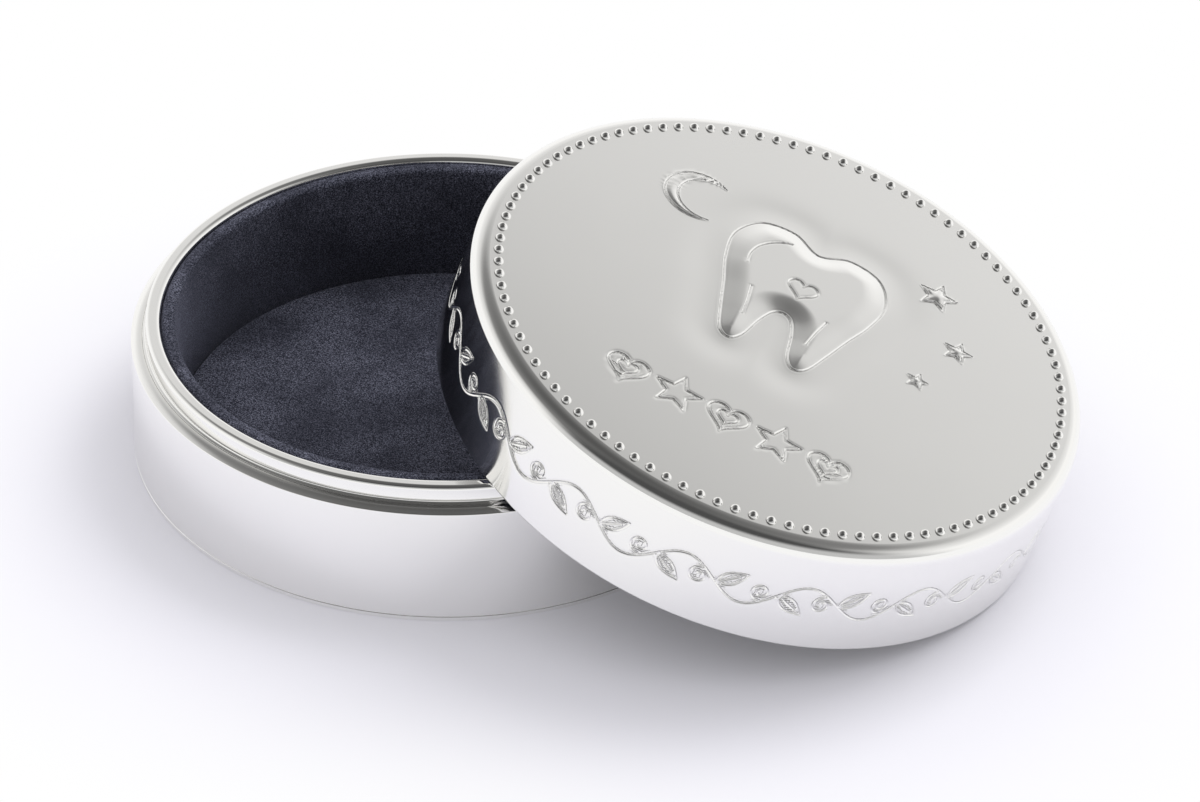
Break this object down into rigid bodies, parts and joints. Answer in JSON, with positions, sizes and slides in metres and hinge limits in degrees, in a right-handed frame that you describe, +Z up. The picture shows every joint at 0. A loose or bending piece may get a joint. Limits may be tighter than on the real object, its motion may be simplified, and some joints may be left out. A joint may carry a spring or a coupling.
{
  "type": "round keepsake box",
  "caption": "Round silver-plated baby tooth box with a stepped rim, a velvet lining and a loose beaded lid that leans on the base.",
  "frame": {"origin": "centre of the base's flat underside, on the table", "axes": "+Z up along the base's own axis, +X from the base's centre towards the lid that leans on its rim"},
  "size_m": [0.0916, 0.06, 0.0299],
  "materials": {
    "silver_base": "polished silver plate",
    "silver_rim": "polished silver plate",
    "silver_lid": "polished silver plate, struck and engraved",
    "card": "grey lining card",
    "velvet": "short-pile navy velvet"
  },
  "bodies": {
    "base": {"base_plate": "silver_base", "base_wall": "silver_base", "rim_collar": "silver_rim", "wall_board": "card", "wall_velvet": "velvet", "floor_board": "card", "floor_velvet": "velvet"},
    "lid": {"lid_shell": "silver_lid", "lid_board": "card", "lid_velvet": "velvet"}
  },
  "joints": [
    {"name": "lid_lift", "type": "slide", "parent": "base", "child": "lid", "axis": [0, 0, 1], "range_m": [0, 0.04]}
  ]
}
